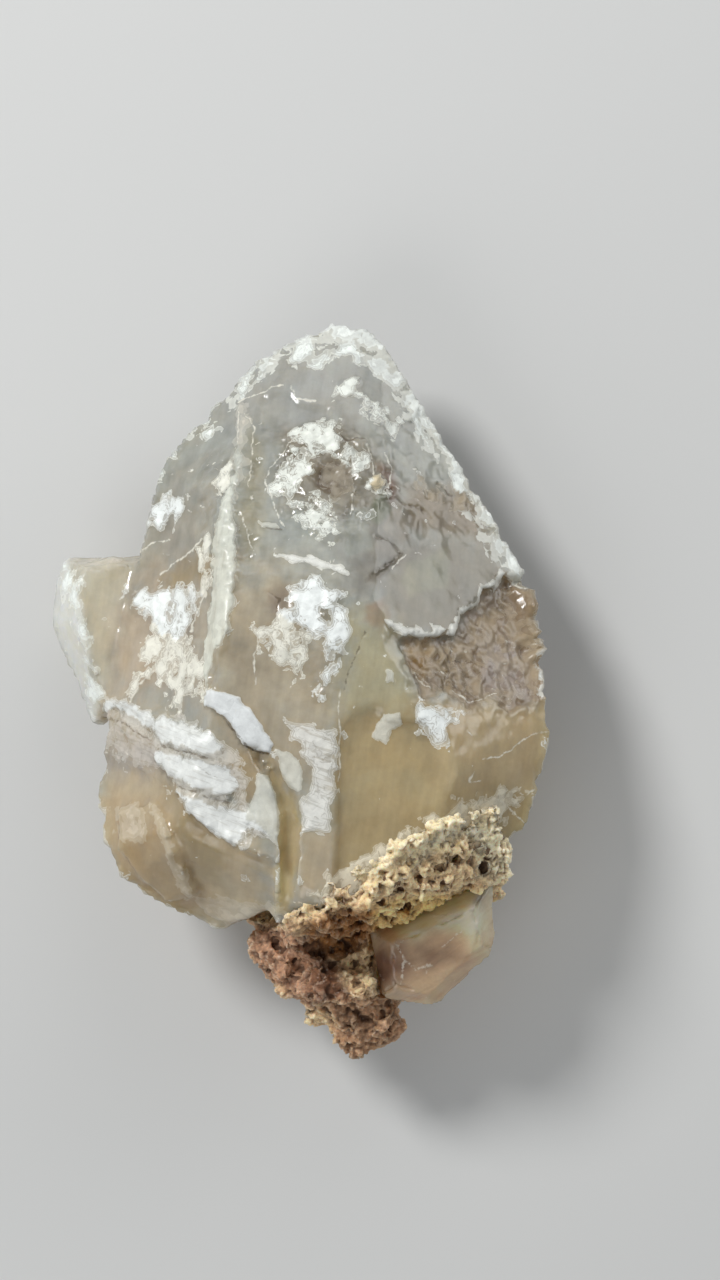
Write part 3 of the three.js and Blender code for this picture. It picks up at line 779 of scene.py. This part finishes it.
crust = {
    "voxel": 0.00032,
    "lump": 0.4,  # mm
    "grain": 0.3,  # mm
    "block": 0.3,  # mm between neighbouring grains
    "pit": 0.7,  # mm
    # tan brightened past the crust's own colour to make up for the shade it lies in: painted light
    "tan": srgb(248, 212, 164),
    "pitColour": srgb(84, 52, 28),
    "sugar": srgb(232, 224, 206),
    "fade": (0.004, 0.014),  # m, heights between which the tints come in
    "scatter": 0.5,
    "scatterRadius": (0.0016, 0.0011, 0.0007),  # m
}
crustTints = [
    ([(296, 902), (330, 874), (392, 842), (420, 818), (500, 792), (524, 816), (476, 836), (420, 854),
      (370, 874), (320, 900)], srgb(255, 230, 186), 8),
    ([(290, 905), (320, 876), (350, 870), (345, 895), (310, 912)], srgb(240, 204, 160), 8),
    ([(470, 824), (520, 810), (520, 880), (480, 880)], srgb(255, 232, 190), 12),
    # painted light: brightened to make up for the shade this hollow lies in
    ([(365, 912), (400, 898), (485, 892), (492, 908), (440, 925), (400, 932), (370, 945)],
     srgb(255, 214, 142), 8),
    ([(298, 925), (345, 908), (374, 912), (372, 942), (345, 962), (306, 954)], srgb(150, 100, 48), 8),
    ([(235, 920), (288, 925), (332, 962), (345, 1002), (300, 1010), (250, 972)], srgb(178, 136, 106), 10),
    ([(300, 964), (340, 960), (352, 1000), (316, 1004)], srgb(118, 78, 50), 8),
    ([(328, 1002), (400, 985), (425, 1040), (380, 1075), (335, 1065)], srgb(176, 136, 102), 8),
]


def shapeCrust(piece):
    mesh = piece.data
    spots = spotsOf(mesh)
    normals = normalsOf(mesh)
    warp = 0.0009 * np.stack([noiseAt(spots, 1.6, seed, 3) for seed in (31, 32, 33)], 1)
    lumps, lumpNumber = grainsAt(spots + 1.6 * warp, 1.7, 1)
    grains, grainNumber = grainsAt(spots + 0.6 * warp, 0.75, 2)
    broad = noiseAt(spots, 5, 34, 3)
    pit = ramp(noiseAt(spots + warp, 1.7, 35, 3), 0.26, 0.5)  # where grains fell out
    rise = crust["lump"] * (0.5 - lumps[:, 0]) + crust["grain"] * (0.45 - grains[:, 0]) + 0.3 * broad
    rise += crust["block"] * (grainNumber - 0.5) - crust["pit"] * pit
    moved = pushOut(mesh, spots, normals, rise)
    hollow = -bulge(mesh, moved, normals, 12)
    plan = sheetPoints(moved)
    tone = np.tile(crust["tan"], (len(spots), 1))
    share = 0.35 + 0.65 * ramp(moved[:, 2], *crust["fade"])
    for outline, colour, soft in crustTints:
        depth = outlineDepth(plan, outline) + soft * 0.7 * broad
        tone = tinted(tone, colour, share * ramp(depth, -soft, soft))
    tone *= (0.9 + 0.15 * lumpNumber + 0.3 * grainNumber + 0.1 * broad)[:, None]
    calm = 1 - 0.75 * ramp(outlineDepth(plan, crustTints[0][0]), -8, 8)
    # painted light and shade: raised grains turn paler (sugary frost and a painted highlight) and hollows
    # darker (painted shade), over the pits' own dark brown
    tone = tinted(tone, crust["sugar"], 0.2 * ramp(-hollow, 0.15, 0.6))
    tone = tinted(tone, crust["pitColour"], 0.9 * calm * np.maximum(ramp(hollow, 0.12, 0.5), 0.7 * pit))
    addTone(mesh, "tone", tone)


def crustMaterial():
    material, start = newMaterial("sandy_crust")
    place = start.place()
    sand = place.lumps(0.4, 3, 0.65)
    glint = place.lumps(0.8, 1).step(0.6, 0.68)
    tone = start.tone("tone").shaded(0.8 + sand.step(0.3, 0.7) * 0.5)
    tone = (glint * 0.14).blend(tone, crust["sugar"])
    surface = start.node("ShaderNodeBsdfPrincipled", {}, {
        "Base Color": tone, "Roughness": 0.7 - glint * 0.35, "Normal": sand.bump(0.7, 0.3),
        "Subsurface Weight": crust["scatter"], "Subsurface Radius": crust["scatterRadius"],
        "Subsurface Scale": 1.0,
    })
    finishMaterial(start, surface)
    return material


# the small grey crystal at the foot

greyQuartz = {
    "voxel": 0.0003,
    "wave": 0.25,  # mm
    "chip": 1.0,  # mm
    "pale": srgb(192, 166, 136),
    "milk": 1.75,  # how bright the body is
    "scarAndEdgeGlint": srgb(214, 206, 190),
    "transmission": 0.45,
    "scatter": 0.7,
    "scatterRadius": (0.005, 0.004, 0.003),  # m
    "haze": (0.86, 0.78, 0.64, 1),
    "hazeDensity": 14.0,
}
greyTints = [
    ([(462, 885), (495, 880), (495, 935), (470, 935)], srgb(206, 194, 170), 10),
    # painted light: the top brightened against the shadow that the crust casts on it
    ([(395, 905), (480, 895), (490, 930), (400, 935)], srgb(226, 208, 174), 20),
    ([(372, 952), (402, 944), (412, 968), (395, 990), (370, 990)], srgb(112, 84, 68), 16),
    ([(420, 948), (452, 940), (456, 960), (424, 970)], srgb(136, 110, 90), 16),
]
greyScratches = {"width": 2.0, "lines": [
    [(398, 946), (404, 960), (416, 968), (430, 964)],
    [(404, 960), (400, 984)],
    [(430, 916), (452, 914)],
    [(376, 968), (384, 980)],
    [(440, 944), (462, 930)],
]}


def shapeGreyQuartz(piece):
    mesh = piece.data
    spots = spotsOf(mesh)
    normals = normalsOf(mesh)
    edge = bulge(mesh, spots, normals, 14)
    cloud = noiseAt(spots, 5, 41, 3)
    crumbs = noiseAt(spots, 1.4, 42, 3)
    bite = ramp(noiseAt(spots, 2.6, 43, 3), -0.1, 0.5) * ramp(edge, 0.03, 0.3)
    pushOut(mesh, spots, normals, greyQuartz["wave"] * cloud + 0.05 * crumbs - greyQuartz["chip"] * bite)
    plan = sheetPoints(spots)
    tone = np.tile(greyQuartz["pale"], (len(spots), 1))
    for outline, colour, soft in greyTints:
        tone = tinted(tone, colour, ramp(outlineDepth(plan, outline) + soft * 0.8 * cloud, -soft, soft))
    addTone(mesh, "tone", tone * (greyQuartz["milk"] + 0.25 * cloud)[:, None])
    scratch = nearestOf(plan + 4 * cloud[:, None], greyScratches) + crumbs
    scratch = np.where(normals[:, 2] > upward, scratch, sheet["away"])
    # pale and frosted along sharp edges and scratch lines: chips and scratches, and on the edges also a
    # painted highlight
    addField(mesh, "scarAndEdgeGlint", np.maximum((edge - 0.4) * 10 + 4 * crumbs, scratch))


def greyQuartzMaterial():
    material, start = newMaterial("smoky_quartz")
    place = start.place()
    grain = place.lumps(0.4, 3)
    wisps = place.along(30, 4).lumps(1.6, 3, 0.6, 1.0)
    scarAndEdgeGlint = (start.field("scarAndEdgeGlint") + (grain - 0.5) * 6).step(-0.6, 1.2)
    normal = (grain * 0.2 + scarAndEdgeGlint * 0.4).bump(0.5, 0.3)
    clear = start.node("ShaderNodeBsdfPrincipled", {}, {
        "Base Color": start.tone("tone").shaded(0.6 + grain * 0.2 + wisps * 0.6),
        "Roughness": 0.08 + grain * 0.2, "IOR": ior, "Transmission Weight": greyQuartz["transmission"],
        "Subsurface Weight": greyQuartz["scatter"], "Subsurface Radius": greyQuartz["scatterRadius"],
        "Subsurface Scale": 1.0, "Normal": normal,
    })
    frosted = start.node("ShaderNodeBsdfPrincipled", {}, {
        "Base Color": (*greyQuartz["scarAndEdgeGlint"], 1), "Roughness": 0.5, "IOR": ior, "Normal": normal,
    })
    surface = start.node("ShaderNodeMixShader", {}, {0: scarAndEdgeGlint * 0.6, 1: clear, 2: frosted})
    inputs = {"Color": greyQuartz["haze"], "Density": greyQuartz["hazeDensity"]}
    haze = start.node("ShaderNodeVolumeAbsorption", {}, inputs)
    finishMaterial(start, surface, haze)
    return material


def addPiece(nodeName, pieceName, voxel, shapePiece, material):
    piece = fineCopy(nodeName, pieceName, voxel)
    shapePiece(piece)
    piece.data.polygons.foreach_set("use_smooth", np.ones(len(piece.data.polygons), bool))
    piece.data.materials.clear()
    piece.data.materials.append(material)
    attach(piece, "root")
    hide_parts(nodeName)
    triangles = sum(len(face.vertices) - 2 for face in piece.data.polygons)
    print(pieceName, "has", triangles, "triangles")


addPiece("crystal", "citrine_body", citrine["voxel"], shapeCitrine, citrineMaterial())
addPiece("matrix", "crust_body", crust["voxel"], shapeCrust, crustMaterial())
grey = greyQuartzMaterial()
addPiece("foot_crystal", "grey_body", greyQuartz["voxel"], shapeGreyQuartz, grey)

# floor, light and camera

studio = {
    "floor": srgb(206, 206, 204),
    "lights": {  # x, y, z and size in m, then watts
        "key": (-0.43, 0.43, 0.6, 0.24, 5.2),
        "right": (0.66, 0.42, 0.2, 0.5, 1.7),
        "left": (-0.36, -0.5, 0.54, 0.5, 1.3),
        "back": (0.2, 0.62, 0.42, 0.5, 0.8),
    },
    "world": (0.9, 0.95, 1.0),
    "worldStrength": 0.26,
    "lens": 90.4,
}


def addLight(name, x, y, z, size, watts):
    lamp = bpy.data.lights.new(name, "AREA")
    lamp.shape = "DISK"
    lamp.size = size
    lamp.energy = watts
    light = bpy.data.objects.new(name, lamp)
    light.location = (x, y, z)
    light.rotation_mode = "QUATERNION"
    light.rotation_quaternion = (Vector((0, 0, 0.015)) - light.location).to_track_quat("-Z", "Y")
    scene.collection.objects.link(light)


def addFloor():
    shape = bmesh.new()
    bmesh.ops.create_grid(shape, x_segments=1, y_segments=1, size=1.5)
    mesh = bpy.data.meshes.new("floor")
    shape.to_mesh(mesh)
    shape.free()
    material, start = newMaterial("pale_floor")
    inputs = {"Base Color": (*studio["floor"], 1), "Roughness": 0.8}
    finishMaterial(start, start.node("ShaderNodeBsdfPrincipled", {}, inputs))
    mesh.materials.append(material)
    floor = bpy.data.objects.new("floor", mesh)
    scene.collection.objects.link(floor)


def addCamera():
    lens = bpy.data.cameras.new("camera")
    lens.sensor_width = 36
    lens.lens = studio["lens"]
    camera = bpy.data.objects.new("camera", lens)
    camera.location = [value / 1000 for value in sheet["eye"]]
    scene.collection.objects.link(camera)
    scene.camera = camera


def addWorld():
    world = bpy.data.worlds.new("studio")
    world.use_nodes = True
    sky = world.node_tree.nodes["Background"]
    sky.inputs["Color"].default_value = (*studio["world"], 1)
    sky.inputs["Strength"].default_value = studio["worldStrength"]
    scene.world = world


addFloor()
for lightName, place in studio["lights"].items():
    addLight(lightName, *place)
addCamera()
addWorld()
scene.view_settings.view_transform = "Standard"
print("studio ready")
